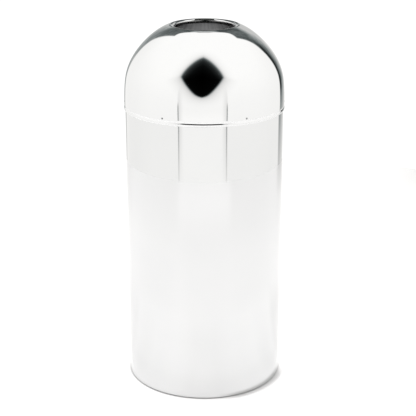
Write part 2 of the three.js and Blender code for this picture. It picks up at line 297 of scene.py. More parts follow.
def zinc_wire(name):
    mat, N, b = material(name, 1.0, (0.55, 0.56, 0.57), 0.34)
    xyz = object_xyz(N)
    n1 = N.noise(xyz, 90.0, 4.0, 0.6)
    n2 = N.noise(xyz, 700.0, 3.0, 0.6)
    worn = N.step(N.noise(xyz, 22.0, 3.0, 0.6, w=5.0), 0.5, 0.72)
    col = N.ramp(n1, [(0.3, (0.44, 0.455, 0.465)), (0.7, (0.62, 0.63, 0.635))])
    N.put(b.inputs["Base Color"], N.mixc(N.mul(worn, 0.5), col, (0.50, 0.49, 0.47, 1)))
    N.put(b.inputs["Roughness"], N.add(N.lin(n1, 0.3, 0.7, 0.26, 0.40), N.mul(worn, 0.12)))
    bump(N, b, N.add(N.mul(n2, 0.6), N.mul(n1, 0.4)), 0.15, 0.0003)
    return mat


def black_rubber(name):
    mat, N, b = material(name, 0.0, (0.022, 0.022, 0.024), 0.62)
    xyz = object_xyz(N)
    n1 = N.noise(xyz, 30.0, 4.0, 0.6)
    n2 = N.noise(xyz, 1400.0, 3.0, 0.6)
    dust = N.step(N.noise(xyz, 14.0, 5.0, 0.65, w=2.0), 0.5, 0.78)
    col = N.ramp(n1, [(0.3, (0.017, 0.017, 0.019)), (0.7, (0.032, 0.032, 0.034))])
    N.put(b.inputs["Base Color"], N.mixc(N.mul(dust, 0.35), col, (0.10, 0.097, 0.09, 1)))
    N.put(b.inputs["Roughness"], N.add(N.lin(n1, 0.3, 0.7, 0.52, 0.70), N.mul(dust, 0.15)))
    bump(N, b, n2, 0.25, 0.0003)
    return mat


M_DOME = polished("polished_dome", "dome")
M_BODY = polished("polished_body", "body", 0.94)
M_DOME_IN = mill("dome_inside", "meridian", 0.46, 0.42, 0.55)
M_BODY_IN = mill("body_inside", "meridian", 0.42, 0.36)
M_BAND = mill("band_mill", "ring", 0.45, 0.34)
M_BASE = mill("base_mill", "ring", 0.43, 0.38)
M_RIVET = mill("rivet_steel", "ring", 0.34, 0.26)
M_GALV = galvanised("galvanised_steel")
M_WIRE = zinc_wire("zinc_wire")
M_RUBBER = black_rubber("black_rubber")


# ------------------------------------------------------------------ outline helpers (r, z) in mm
def arc(cx, cz, rad, a0, a1, n):
    a = np.radians(np.linspace(a0, a1, n))
    return [(cx + rad * math.cos(t), cz + rad * math.sin(t)) for t in a]


def fillet(path, radii, n=6, closed=False):
    """Rounds the corners of a polyline; radii is one number or one per point."""
    pts = [np.array(p, float) for p in path]
    k = len(pts)
    if not hasattr(radii, "__len__"):
        radii = [radii] * k
    out = []
    for i in range(k):
        if not closed and i in (0, k - 1):
            out.append(tuple(pts[i]))
            continue
        p, a, b = pts[i], pts[i - 1], pts[(i + 1) % k]
        u, v = a - p, b - p
        lu, lv = np.linalg.norm(u), np.linalg.norm(v)
        u, v = u / lu, v / lv
        c = float(np.clip(u @ v, -1, 1))
        ang = math.acos(c)
        if radii[i] <= 0 or math.pi - ang < 0.02:
            out.append(tuple(p))
            continue
        d = min(radii[i] / math.tan(ang / 2), 0.48 * lu, 0.48 * lv)
        rr = d * math.tan(ang / 2)
        mid = (u + v) / np.linalg.norm(u + v)
        centre = p + mid * (rr / math.sin(ang / 2))
        s, e = p + u * d - centre, p + v * d - centre
        a0, a1 = math.atan2(s[1], s[0]), math.atan2(e[1], e[0])
        while a1 - a0 > math.pi:
            a1 -= 2 * math.pi
        while a0 - a1 > math.pi:
            a1 += 2 * math.pi
        for t in np.linspace(a0, a1, n):
            out.append((centre[0] + rr * math.cos(t), centre[1] + rr * math.sin(t)))
    return out


def offset(path, t, side=1):
    """The path moved sideways by t (to the left of travel for side 1)."""
    p = np.array(path, float)
    d = np.diff(p, axis=0)
    d /= np.linalg.norm(d, axis=1)[:, None]
    n = np.stack([-d[:, 1], d[:, 0]], 1)
    out = []
    for i in range(len(p)):
        a = n[max(i - 1, 0)]
        b = n[min(i, len(n) - 1)]
        m = a + b
        m /= np.linalg.norm(m)
        out.append(tuple(p[i] + side * m * t / max(0.5, float(m @ b))))
    return out


def sheet_loop(path, t, side=1, cap=3):
    """Closed outline of sheet metal: outside face, rounded edge, inside face, rounded edge.
    Returns the points and, for each, whether it lies on the outside face."""
    inner = offset(path, t, side)
    pts, flag = [], []

    def edge(a, b):
        a, b = np.array(a), np.array(b)
        c, h = (a + b) / 2, (a - b) / 2
        n = np.array([-h[1], h[0]]) * side
        return [tuple(c + h * math.cos(w) + n * math.sin(w) * 0.85) for w in np.linspace(0, math.pi, cap + 2)[1:-1]]

    pts += list(path)
    flag += [True] * len(path)
    e = edge(path[-1], inner[-1])
    pts += e
    flag += [False] * len(e)
    pts += inner[::-1]
    flag += [False] * len(inner)
    e = edge(inner[0], path[0])
    pts += e
    flag += [True] * len(e)
    return pts, flag


def dense(path, step):
    """Adds points so that no stretch is longer than step."""
    out = [tuple(path[0])]
    for a, b in zip(path, path[1:]):
        d = math.dist(a, b)
        k = max(1, math.ceil(d / step))
        for i in range(1, k + 1):
            out.append((a[0] + (b[0] - a[0]) * i / k, a[1] + (b[1] - a[1]) * i / k))
    return out


# ------------------------------------------------------------------ mesh helpers
def mesh_object(name, verts, faces, mats, face_mat=None, sharp=35.0):
    me = bpy.data.meshes.new(name)
    me.from_pydata([tuple(v) for v in verts], [], faces)
    me.validate(clean_customdata=False)
    for m in mats:
        me.materials.append(m)
    if face_mat is not None:
        me.polygons.foreach_set("material_index", np.asarray(face_mat, np.int32))
    me.polygons.foreach_set("use_smooth", np.ones(len(me.polygons), bool))
    me.update()
    if sharp:
        me.set_sharp_from_angle(angle=math.radians(sharp))
    ob = bpy.data.objects.new(name, me)
    scene.collection.objects.link(ob)
    return ob


def lathe(name, loop, mats, seg=256, face_mat=None, angles=None, bend=None, sharp=35.0, closed=True):
    """Turned piece about Z from a closed (r, z) outline in mm. Points on the axis become poles.
    face_mat gives a material index for each outline stretch; bend(r, z, theta) may move a point's radius."""
    pts = [tuple(p) for p in loop]
    area = sum(a[0] * b[1] - b[0] * a[1] for a, b in zip(pts, pts[1:] + pts[:1]))
    fm = list(face_mat) if face_mat is not None else [0] * len(pts)
    if area < 0:
        pts = pts[::-1]
        fm = fm[::-1]
        fm = fm[1:] + fm[:1]
    th = np.array(angles) if angles is not None else np.linspace(0, 2 * math.pi, seg, endpoint=False)
    k, n = len(pts), len(th)
    verts, index = [], []
    for i, (r, z) in enumerate(pts):
        if r < 1e-6:
            index.append([len(verts)] * n)
            verts.append((0.0, 0.0, z * MM))
            continue
        row = []
        for t in th:
            rr, zz = (bend(r, z, t) if bend else (r, z))
            row.append(len(verts))
            verts.append((rr * MM * math.cos(t), rr * MM * math.sin(t), zz * MM))
        index.append(row)
    faces, mats_i = [], []
    for i in range(k):
        j = (i + 1) % k
        if pts[i][0] < 1e-6 and pts[j][0] < 1e-6:
            continue
        for c in range(n):
            d = (c + 1) % n
            f = [index[i][c], index[i][d], index[j][d], index[j][c]]
            g = []
            for v in f:
                if v not in g:
                    g.append(v)
            if len(g) >= 3:
                faces.append(g)
                mats_i.append(fm[i])
    return mesh_object(name, verts, faces, mats, mats_i, sharp)


def turn_to(ob, az_deg, z_mm):
    """Puts a small part turned about Z onto a radial axis: its +Z points out of the bin at that azimuth (0 = front)."""
    rot = Matrix.Rotation(math.radians(az_deg), 4, "Z") @ Matrix.Rotation(math.radians(90), 4, "X")
    ob.data.transform(Matrix.Translation((0, 0, z_mm * MM)) @ rot)
    ob.data.update()


def wire_mesh(name, points, radius, mats, sides=20, sharp=40.0, end_round=True):
    """Round wire through the points (mm), with domed ends."""
    P = [np.array(p, float) for p in points]
    u = None
    verts, faces = [], []
    rings = []
    prof = []
    if end_round:
        for a in (15, 40, 65):
            prof.append((-radius * 0.5 * math.cos(math.radians(a)), math.sin(math.radians(a))))
    T = []
    for i in range(len(P)):
        a, b = P[max(i - 1, 0)], P[min(i + 1, len(P) - 1)]
        T.append((b - a) / np.linalg.norm(b - a))
    frames = []
    for i, t in enumerate(T):
        if u is None:
            ref = np.array([0, 0, 1.0]) if abs(t[2]) < 0.9 else np.array([0, 1.0, 0])
            u = np.cross(ref, t)
        u = u - t * (u @ t)
        u /= np.linalg.norm(u)
        frames.append((P[i], u.copy(), np.cross(t, u), radius))
    rows = []
    if end_round:
        for along, k in prof:
            rows.append((P[0] + T[0] * along, frames[0][1], frames[0][2], radius * k))
    rows += frames
    if end_round:
        for along, k in prof[::-1]:
            rows.append((P[-1] - T[-1] * along, frames[-1][1], frames[-1][2], radius * k))
    for c, uu, ww, rad in rows:
        ring = []
        for s in range(sides):
            q = 2 * math.pi * s / sides
            v = c + uu * rad * math.cos(q) + ww * rad * math.sin(q)
            ring.append(len(verts))
            verts.append(tuple(v * MM))
        rings.append(ring)
    for a, b in zip(rings, rings[1:]):
        for s in range(sides):
            d = (s + 1) % sides
            faces.append([a[s], a[d], b[d], b[s]])
    tip0 = len(verts)
    verts.append(tuple((rows[0][0] - T[0] * (radius * 0.04 if end_round else 0)) * MM))
    tip1 = len(verts)
    verts.append(tuple((rows[-1][0] + T[-1] * (radius * 0.04 if end_round else 0)) * MM))
    for s in range(sides):
        d = (s + 1) % sides
        faces.append([tip0, rings[0][d], rings[0][s]])
        faces.append([tip1, rings[-1][s], rings[-1][d]])
    return mesh_object(name, verts, faces, mats, sharp=sharp)


def plate(name, outline, holes, x0, x1, mats, edge=0.35, sharp=50.0):
    """Flat stamped plate in the YZ plane between x0 and x1 (mm), with drilled holes and softened edges."""
    import bmesh
    cu = bpy.data.curves.new(name + "_c", "CURVE")
    cu.dimensions = "2D"
    cu.fill_mode = "BOTH"
    cu.extrude = (x1 - x0) / 2 * MM - edge * MM
    cu.bevel_depth = edge * MM
    cu.bevel_resolution = 2
    cu.offset = -edge * MM
    for loop in [outline] + holes:
        sp = cu.splines.new("POLY")
        sp.points.add(len(loop) - 1)
        for p, (y, z) in zip(sp.points, loop):
            p.co = (y * MM, z * MM, 0, 1)
        sp.use_cyclic_u = True
    tmp = bpy.data.objects.new(name + "_c", cu)
    scene.collection.objects.link(tmp)
    bpy.context.view_layer.update()
    dg = bpy.context.evaluated_depsgraph_get()
    me = bpy.data.meshes.new_from_object(tmp.evaluated_get(dg))
    bpy.data.objects.remove(tmp)
    bpy.data.curves.remove(cu)
    # curve plane XY -> YZ, extrusion along X
    me.transform(Matrix.Translation(((x0 + x1) / 2 * MM, 0, 0)) @ Matrix(((0, 0, 1, 0), (1, 0, 0, 0), (0, 1, 0, 0), (0, 0, 0, 1))))
    bm = bmesh.new()
    bm.from_mesh(me)
    bmesh.ops.remove_doubles(bm, verts=bm.verts, dist=1e-6)
    bmesh.ops.recalc_face_normals(bm, faces=bm.faces)
    bm.to_mesh(me)
    bm.free()
    me.name = name
    me.materials.clear()
    for m in mats:
        me.materials.append(m)
    me.polygons.foreach_set("use_smooth", np.ones(len(me.polygons), bool))
    me.polygons.foreach_set("material_index", np.zeros(len(me.polygons), np.int32))
    me.update()
    me.set_sharp_from_angle(angle=math.radians(sharp))
    ob = bpy.data.objects.new(name, me)
    scene.collection.objects.link(ob)
    return ob


def settle(ob, body, node):
    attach(ob, body)
    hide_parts(node)
    return ob


# ------------------------------------------------------------------ crown outline
def natural_spline(x, y, q):
    """Natural cubic spline through (x, y), read at q."""
    x, y = np.asarray(x, float), np.asarray(y, float)
    n = len(x)
    h = np.diff(x)
    A = np.zeros((n, n))
    b = np.zeros(n)
    A[0, 0] = A[-1, -1] = 1
    for i in range(1, n - 1):
        A[i, i - 1], A[i, i], A[i, i + 1] = h[i - 1], 2 * (h[i - 1] + h[i]), h[i]
        b[i] = 6 * ((y[i + 1] - y[i]) / h[i] - (y[i] - y[i - 1]) / h[i - 1])
    m = np.linalg.solve(A, b)
    k = np.clip(np.searchsorted(x, q, side="right") - 1, 0, n - 2)
    d, e = q - x[k], x[k + 1] - q
    return (m[k] * e ** 3 + m[k + 1] * d ** 3) / (6 * h[k]) + (y[k] / h[k] - m[k] * h[k] / 6) * e + (y[k + 1] / h[k] - m[k + 1] * h[k] / 6) * d


def crown(n=121):
    s = np.linspace(0, CROWN_LEN, n * 8)
    k = natural_spline(np.array(CROWN_U) * CROWN_LEN, np.array(CROWN_K) / 190.5, s)
    ds = np.diff(s)
    th = np.concatenate([[0], np.cumsum((k[1:] + k[:-1]) / 2 * ds)])
    r = CROWN_START[0] - np.concatenate([[0], np.cumsum((np.sin(th[1:]) + np.sin(th[:-1])) / 2 * ds)])
    z = CROWN_START[1] + np.concatenate([[0], np.cumsum((np.cos(th[1:]) + np.cos(th[:-1])) / 2 * ds)])
    pick = np.linspace(0, len(s) - 1, n).astype(int)
    return [(float(r[i]), float(z[i])) for i in pick], math.degrees(float(th[-1]))


# ------------------------------------------------------------------ dome
cr, end_deg = crown()
# lip: a broad crest carries on from the crown, leans inward, then rolls tightly down into the mouth
a_end = math.radians(end_deg)
crest_c = (cr[-1][0] - CREST_R * math.cos(a_end), cr[-1][1] - CREST_R * math.sin(a_end))
crest = arc(crest_c[0], crest_c[1], CREST_R, end_deg, 90 + ROLL_FROM, 34)
a_roll = math.radians(90 + ROLL_FROM)
roll_c = (crest[-1][0] - ROLL_R * math.cos(a_roll), crest[-1][1] - ROLL_R * math.sin(a_roll))
roll = arc(roll_c[0], roll_c[1], ROLL_R, 90 + ROLL_FROM, 180, 14)[1:]
mouth_r = roll[-1][0]
foot = fillet([(BEAD_R, DOME_Z0 + 0.12), (BEAD_R, BEAD_Z), (GROOVE_R, GROOVE_Z), (SKIRT_R - 0.06, GROOVE_Z + 3.2), (SKIRT_R + 0.03, GROOVE_Z + 6.0), CROWN_START],
              [0, 0.7, 0.35, 2.0, 3.0, 0], n=6)
dome_path = foot[:-1] + cr[:-1] + crest + roll
dome_path += [(mouth_r, roll[-1][1] - 1.0), (mouth_r, roll[-1][1] - 2.6)]
loop, outside = sheet_loop(dome_path, DOME_T, 1)
dome = lathe("dome_shell_spun", loop, [M_DOME, M_DOME_IN], seg=320, face_mat=[0 if f else 1 for f in outside], sharp=45)
settle(dome, "dome", "dome_shell")

# locating band
band_path = fillet([(BAND_PLUG_R - 1.6, BAND_FOOT + 0.2), (BAND_PLUG_R, BAND_FOOT + 6), (BAND_PLUG_R, BODY_Z1 - 0.5),
                    (BAND_R - 1.5, GROOVE_Z - 0.6), (BAND_R - 0.9, GROOVE_Z + 1.0), (BAND_R, GROOVE_Z + 5.0), (BAND_R, BAND_TOP - 4), (BAND_R - 0.4, BAND_TOP - 0.2)],
                   [0, 4, 4, 1.0, 1.0, 2.0, 4, 0], n=6)
loop, _ = sheet_loop(band_path, BAND_T, 1)
band = lathe("locating_band_rolled", loop, [M_BAND], seg=256)
settle(band, "dome", "locating_band")

# band rivets
hi, lo = SKIRT_R + GAP, BAND_R - BAND_T - GAP - 0.9
for i, az in enumerate(RIVET_AZ):
    head = [(0, lo - 1.2)] + arc(0, lo - 0.1, 2.2, -88, -30, 8)[1:]
    h = RIVET_HEAD
    inner = [(0, lo - 1.2), (0.9, lo - 1.15), (1.6, lo - 0.95), (2.1, lo - 0.62), (h - 0.05, lo - 0.15), (h, lo)]
    outer = [(h, hi - 0.25), (h - 0.04, hi + 0.12), (h - 0.25, hi + 0.38), (h - 0.7, hi + 0.62), (h - 1.4, hi + 0.77), (0, hi + 0.8)]
    loop = inner + [(RIVET_SHANK, lo + 0.02), (RIVET_SHANK, hi - 0.27)] + outer
    rv = lathe(f"band_rivet_set_{i + 1}", loop, [M_RIVET], seg=32, sharp=40)
    turn_to(rv, az, RIVET_Z)
    settle(rv, "dome", f"band_rivet_{i + 1}")

# ------------------------------------------------------------------ body
r1, r0 = BODY_R, BODY_R - BODY_T
outer_path = [(r1 - 0.32, BODY_Z0 + 0.12), (r1 - 0.08, BODY_Z0 + 0.38), (r1, BODY_Z0 + 0.8)] + \
    dense([(r1, BODY_Z0 + 2), (r1, BODY_Z1 - 2)], 30)[0:] + [(r1, BODY_Z1 - 0.8), (r1 - 0.08, BODY_Z1 - 0.3), (r1 - 0.3, BODY_Z1 - 0.06)]
inner_z = [BODY_Z1 - 0.2, BODY_Z1 - 1, 653.2, 652.2, 651.8, 650.8] + list(np.linspace(640, 40, 21)) + [24.8, 23.8, 23.4, 22.4, BODY_Z0 + 1, BODY_Z0 + 0.2]
inner_path = [(r0, z) for z in inner_z]
loop = outer_path + [(r0 + 0.35, BODY_Z1)] + inner_path + [(r0 + 0.35, BODY_Z0)]
fm = [0] * (len(outer_path) + 1) + [1] * len(inner_path) + [0]
# columns crowd together at the back, where the sheet's edges are folded into each other
half = [0.0, 0.25, 0.45, 0.6, 0.9, 1.6, 3.2, 4.2, 4.45, 4.7, 5.2, 6.5, 8.5]
s_cols = sorted(set([-v for v in half] + half))
seam = [math.pi / 2 + v / r1 for v in s_cols]
rest = [t for t in np.linspace(0, 2 * math.pi, 320, endpoint=False) if abs((t - math.pi / 2 + math.pi) % (2 * math.pi) - math.pi) > 9.5 / r1]
cols = sorted(rest + seam)


def body_bend(r, z, t):
    s = abs(((t - math.pi / 2 + math.pi) % (2 * math.pi) - math.pi) * r1)
    if r > r1 - 0.5:
        # shut line of the folded seam on the outside
        d = 0.0
        if s < 0.3:
            d = 0.55
        elif s < 0.5:
            d = 0.25
        elif s < 0.7:
            d = 0.05
        return r - d, z
    if r < r0 + 0.1 and 23.6 < z < 652.0:
        # the fold stands inward
        f = 1.0 if s < 4.3 else (0.5 if s < 4.6 else 0.0)
        return r - SEAM_T * f, z
    return r, z


body = lathe("body_shell_rolled", loop, [M_BODY, M_BODY_IN], face_mat=fm, angles=cols, bend=body_bend, sharp=40)
settle(body, "body", "body_shell")

# base plate: pressed pan with a stiffening ring
top = [(0, BASE_Z + BASE_T)] + [(60, BASE_Z + BASE_T), (BASE_R - 3, BASE_Z + BASE_T)]
base_outline = fillet([(0, BASE_Z), (BASE_R - BASE_T - 0.2, BASE_Z), (BASE_R - BASE_T, 3.2), (BASE_R - BASE_T / 2, 3.0), (BASE_R, 3.2),
                       (BASE_R, BASE_Z + BASE_T), (120, BASE_Z + BASE_T), (0, BASE_Z + BASE_T)],
                      [0, 1.2, 0.4, 0.3, 0.4, 2.0, 0, 0], n=6)
base = lathe("base_plate_pressed", base_outline, [M_BASE], seg=256)
settle(base, "body", "base_plate")

# foot ring: moulded, with shallow grooves in its tread
foot_pts = [(FOOT_RI, 1.2), (FOOT_RI + 1.2, 0.0)]
for g in (168.0, 173.0, 178.0):
    foot_pts += [(g - 1.0, 0.0), (g - 0.6, 0.9), (g + 0.6, 0.9), (g + 1.0, 0.0)]
foot_pts += [(FOOT_RO - 1.2, 0.0), (FOOT_RO, 1.2), (FOOT_RO, FOOT_H - 1), (FOOT_RO - 1, FOOT_H), (FOOT_RI + 1, FOOT_H), (FOOT_RI, FOOT_H - 1)]
foot_ring = lathe("foot_ring_moulded", fillet(foot_pts, [0.8, 0.8] + [0.25, 0.2, 0.2, 0.25] * 3 + [0.8, 0.8, 0.6, 0.6, 0.6, 0.6], n=4, closed=True), [M_RUBBER], seg=256)
settle(foot_ring, "body", "foot_ring")

# ------------------------------------------------------------------ liner
lr1, lr0 = LINER_R, LINER_R - LINER_T
ci = RIM_WIRE_R + GAP
co = ci + LINER_T
ccr, ccz = lr1 + ci, LINER_Z1 - co


def swage(z):
    """Two stiffening swages pressed outward round the wall."""
    out = 0.0
    for c in (170.0, 455.0):
        d = abs(z - c)
        if d < 7:
            out += 1.4 * (0.5 + 0.5 * math.cos(math.pi * d / 7))
    return out


wall_z = [LINER_Z0 + 0.3, LINER_Z0 + 1.2] + sorted(set(list(np.linspace(30, 620, 22)) + [170 + v for v in (-7, -5, -3.5, -2, -1, 0, 1, 2, 3.5, 5, 7)] + [455 + v for v in (-7, -5, -3.5, -2, -1, 0, 1, 2, 3.5, 5, 7)]))
wall_z = [z for z in wall_z if z < ccz - 4]
curl_in = arc(ccr, ccz, ci, 180, -95, 24)
curl_out = arc(ccr, ccz, co, -95, 180, 30)
loop = [(lr1 + swage(z), z) for z in wall_z] + curl_in + curl_out + [(lr0 + swage(z), z) for z in wall_z[::-1]] + [(lr0 + 0.2, LINER_Z0 + 0.02), (lr1 - 0.2, LINER_Z0 + 0.02)]
liner = lathe("liner_bucket_rolled", loop, [M_GALV], seg=256)
settle(liner, "liner", "liner_bucket")

rim = lathe("liner_rim_wire_ring", arc(ccr, ccz, RIM_WIRE_R, 0, 345, 24), [M_WIRE], seg=192)
settle(rim, "liner", "liner_rim_wire")

fr = lr0 - GAP
lb = fillet([(0, LINER_FLOOR_Z - LINER_T), (fr - LINER_T, LINER_FLOOR_Z - LINER_T), (fr - LINER_T, LINER_Z0 + 0.1), (fr - LINER_T / 2, LINER_Z0),
             (fr, LINER_Z0 + 0.1), (fr, LINER_FLOOR_Z), (110, LINER_FLOOR_Z), (0, LINER_FLOOR_Z)],
            [0, 2.0, 0.2, 0.2, 0.2, 2.8, 0, 0], n=7)
lbot = lathe("liner_bottom_pressed", lb, [M_GALV], seg=256)
settle(lbot, "liner", "liner_bottom")

# ear straps
w, hr = EAR_W / 2, 9.0


def circle(cy, cz, rad, n=28):
    return [(cy + rad * math.cos(2 * math.pi * i / n), cz + rad * math.sin(2 * math.pi * i / n)) for i in range(n)]


ear_outline = [(-w, LINER_Z1 - 10), (-w, EAR_Z0 + 3)] + arc(-w + 3, EAR_Z0 + 3, 3, 180, 270, 7) + arc(w - 3, EAR_Z0 + 3, 3, 270, 360, 7) + [(w, LINER_Z1 - 10)] + \
    arc(0, PIVOT_Z, hr, 8, 172, 24)
for s, node in ((-1, "liner_ear_left"), (1, "liner_ear_right")):
    x0, x1 = (EAR_X, EAR_X + EAR_T) if s > 0 else (-EAR_X - EAR_T, -EAR_X)
    e = plate(node + "_strap", ear_outline, [circle(0, PIVOT_Z, BAIL_HOLE, 32)] + [circle(0, z, 2.3) for z in EAR_RIVET_Z], x0, x1, [M_GALV])
    settle(e, "liner", node)
k = 0
for az in (-90, 90):
    for z in EAR_RIVET_Z:
        k += 1
        a, b_ = EAR_X - GAP, LINER_R + GAP
        loop = [(0, a - 1.6), (1.4, a - 1.5), (2.5, a - 1.15), (3.3, a - 0.6), (3.75, a - 0.12), (3.8, a), (2, a + 0.02), (2, b_ - 0.02),
                (3.8, b_), (3.75, b_ + 0.12), (3.3, b_ + 0.6), (2.5, b_ + 1.15), (1.4, b_ + 1.5), (0, b_ + 1.6)]
        er = lathe(f"ear_rivet_set_{k}", loop, [M_GALV], seg=36, sharp=40)
        turn_to(er, az, z)
        settle(er, "liner", f"ear_rivet_{k}")

# bail handle
drop = math.radians(BAIL_DROP)


def bail_at(x, d):
    return (x, d * math.cos(drop), PIVOT_Z - d * math.sin(drop))


half_pts = [(BAIL_END_X, 0.0), (164, 0.0), (168, 0.0), (172, 0.0)]
bend_r = 6.0
half_pts += [(BAIL_R - bend_r + bend_r * math.sin(a), bend_r - bend_r * math.cos(a)) for a in np.radians(np.linspace(0, 84, 10))]
start = math.asin(half_pts[-1][1] / BAIL_R)
arc_pts = [(BAIL_R * math.cos(a), BAIL_R * math.sin(a)) for a in np.linspace(start + 0.03, math.pi / 2, 56)]
right = half_pts + arc_pts
left = [(-x, d) for x, d in right[:-1]][::-1]
bail = wire_mesh("bail_handle_wire", [bail_at(x, d) for x, d in right + left], BAIL_WIRE, [M_WIRE], sides=20)
settle(bail, "bail", "bail_handle")

# ------------------------------------------------------------------ floor
FLOOR_R = 1.93
fl_mat, N, b = material("studio_floor", 0.0, (0.90, 0.90, 0.90), 0.9)
b.inputs["Specular IOR Level"].default_value = 0.0
b.inputs["Emission Color"].default_value = (1.0, 0.994, 0.996, 1)
fx, fy, _, fr = polar(N)
# the floor glows: its emission is painted light, brighter or dimmer by distance and direction from the bin and dimmer
# close to the base, so that the floor mirrored in the body comes out at a set tone; what the world's light already
# gives the floor (sky) is taken off the glow
near = N.lin(fr, 0.18, 0.68)
far = N.lin(fr, 0.18, 1.98)
glow_near = N.curve(near, [(0.0, 0.85), (0.03, 1.02), (0.05, 1.15), (0.12, 1.18), (0.2, 1.18), (0.3, 1.21), (0.42, 1.23), (0.6, 1.27), (0.95, 1.33), (1.0, 1.33)])
glow_far = N.curve(far, [(0.0, 1.0), (0.27, 1.0), (0.4, 1.015), (0.57, 1.022), (0.78, 1.004), (1.0, 0.982)])
sky = N.curve(far, [(0.0, 0.66), (0.011, 0.70), (0.017, 0.73), (0.033, 0.79), (0.067, 0.80), (0.12, 0.83), (0.18, 0.88), (0.34, 0.91), (0.57, 0.94), (1.0, 0.95)])
behind = N.curve(N.lin(fy, 0.0, 1.0), [(0.0, 1.0), (0.34, 1.0), (0.5, 0.98), (0.707, 0.94), (0.927, 0.87), (1.0, 0.85)])
beside = N.curve(N.abs(fx), [(0.0, 0.0), (0.2, 0.0), (0.4, 0.032), (0.6, 0.052), (0.75, 0.062), (0.9, 0.085), (1.0, 0.062)])
beside = N.add(1.0, N.mul(beside, N.step(fr, 0.85, 0.42)))
beside = N.mul(beside, N.sub(1.0, N.mul(N.mul(N.step(fy, 0.10, 0.36), N.step(fr, 0.82, 0.55)), N.mix(N.step(fx, 0.4, 0.8), 0.065, 0.105))))
beside = N.mul(beside, N.add(1.0, N.mul(N.mul(N.step(N.abs(fx), 0.25, 0.6), N.step(fr, 1.5, 1.1)), 0.018)))
beside = N.mul(beside, N.add(1.0, N.mul(N.mul(N.step(fx, 0.35, 0.9), N.step(fr, 1.3, 0.5)), 0.026)))
beside = N.mul(beside, N.sub(1.0, N.mul(N.mul(N.step(fy, 0.55, 0.85), N.step(fr, 0.95, 1.8)), 0.055)))
# painted shade: the glow is dimmed in a patch far off at the back right
painted_dim_patch = N.mul(N.mul(N.step(fx, 0.36, 0.52), N.step(fx, 0.84, 0.70)), N.mul(N.step(fy, 0.3, 0.5), N.lin(fr, 1.50, 1.93)))
beside = N.mul(beside, N.sub(1.0, N.mul(painted_dim_patch, 0.20)))
# painted light: the glow is raised in a strip far out in front of the bin
painted_bright_strip = N.add(1.0, N.mul(N.mul(N.step(N.abs(fx), 0.66, 0.52), N.mul(N.step(fy, -0.2, -0.6), N.step(fr, 1.25, 1.75))), 0.062))
glow = N.mul(N.mul(N.mul(glow_near, glow_far), N.mul(behind, beside)), painted_bright_strip)
# painted shadow: a soft dark crescent on the floor hugging the base at the front right, darkening both the floor's
# colour and its glow
painted_shadow_front_right = N.mul(N.mul(N.step(fx, 0.10, 0.50), N.step(fy, 0.05, -0.35)), N.mul(N.step(fr, 0.215, 0.195), N.step(fr, 0.190, 0.195, 0.8, 1.0)))
N.put(b.inputs["Base Color"], N.mixc(N.mul(painted_shadow_front_right, 0.30), (0.90, 0.896, 0.897, 1), (0.20, 0.20, 0.20, 1)))
# the glow also fades to nothing within about 5 mm of the body's wall: a painted contact shadow
N.put(b.inputs["Emission Strength"], N.mul(N.m("MAXIMUM", N.sub(glow, sky), 0.0), N.mul(N.inv(N.mul(painted_shadow_front_right, 0.72)), N.step(fr, 0.188, 0.196))))
ring_r = [0, 0.25, 0.6, 1.2, FLOOR_R]
fv, ff = [(0, 0, 0)], []
for rr in ring_r[1:]:
    for c in range(96):
        t = 2 * math.pi * c / 96
        fv.append((rr * math.cos(t), rr * math.sin(t), 0.0))
for c in range(96):
    ff.append([0, 1 + c, 1 + (c + 1) % 96])
for k in range(len(ring_r) - 2):
    for c in range(96):
        a, d = 1 + k * 96 + c, 1 + k * 96 + (c + 1) % 96
        ff.append([a, a + 96, d + 96, d])
floor = mesh_object("studio_floor", fv, ff, [fl_mat], sharp=None)

# ------------------------------------------------------------------ studio: a white tent with a dark opening round the camera
TENT = 1.40
world = bpy.data.worlds.new("studio")
scene.world = world
world.use_nodes = True
wt = world.node_tree
for n in list(wt.nodes):
    wt.nodes.remove(n)
N = Nodes(wt)
D = N.new("ShaderNodeTexCoord").outputs["Generated"]
dx, dy, dz = N.split(D)
az = N.mul(N.m("ARCTAN2", dx, N.mul(dy, -1.0)), 180 / math.pi)
el = N.mul(N.m("ARCSINE", N.m("MAXIMUM", N.m("MINIMUM", dz, 1.0), -1.0)), 180 / math.pi)

# soft tone of the tent
tone = N.curve(N.lin(el, -30, 90), [(0.0, 0.915), (0.14, 0.925), (0.24, 0.945), (0.36, 0.965), (0.55, 0.985), (1.0, 1.0)])
sides = N.curve(N.lin(N.abs(az), 80.0, 180.0), [(0.0, 1.0), (0.2, 0.985), (0.45, 0.95), (0.65, 0.90), (0.8, 0.86), (1.0, 0.80)])
tone = N.mul(tone, N.mix(N.step(el, 50.0, 15.0), 1.0, sides))
panel = N.mul(N.step(az, -38.0, -36.5), N.step(az, 32.6, 31.1))
tone = N.mul(tone, N.add(1.0, N.mul(N.mul(panel, N.step(el, -9.0, -15.0)), 0.045)))

# opening in front: a rounded diamond on the tent wall, with a soft edge and a wide faint halo
wdot = N.dot(D, (-0.04947375, -0.74273472, 0.66775556))
wsafe = N.m("MAXIMUM", wdot, 0.02)
pu = N.abs(N.div(N.dot(D, (0.99778889, -0.06646298, 0.0)), wsafe))
pw = N.div(N.dot(D, (-0.04438102, -0.66627908, -0.74438063)), wsafe)
down = N.m("GREATER_THAN", pw, 0.0)
pb, pp, pc = N.mix(down, 0.5454, 1.0781), N.mix(down, 1.2422, 1.2169), N.mix(down, 0.7453, 0.8896)
pw_signed = pw
pw = N.abs(pw)
F = N.pow(N.add(N.pow(N.add(N.pow(N.div(pu, 0.5248), pp), N.pow(N.div(pw, pb), pp)), 3.0), N.pow(N.div(pw, pc), 10.0)), 1 / 3)
F = N.add(F, N.mul(N.m("LESS_THAN", wdot, 0.03), 50.0))
Fx = N.lin(F, 0.0, 3.0)


def tones(points, white):
    def lin(v):
        v = v / 255
        return v / 12.92 if v < 0.04045 else ((v + 0.055) / 1.055) ** 2.4
    return [(a / 3.0, min(1.0, lin(v) / lin(white))) for a, v in points]


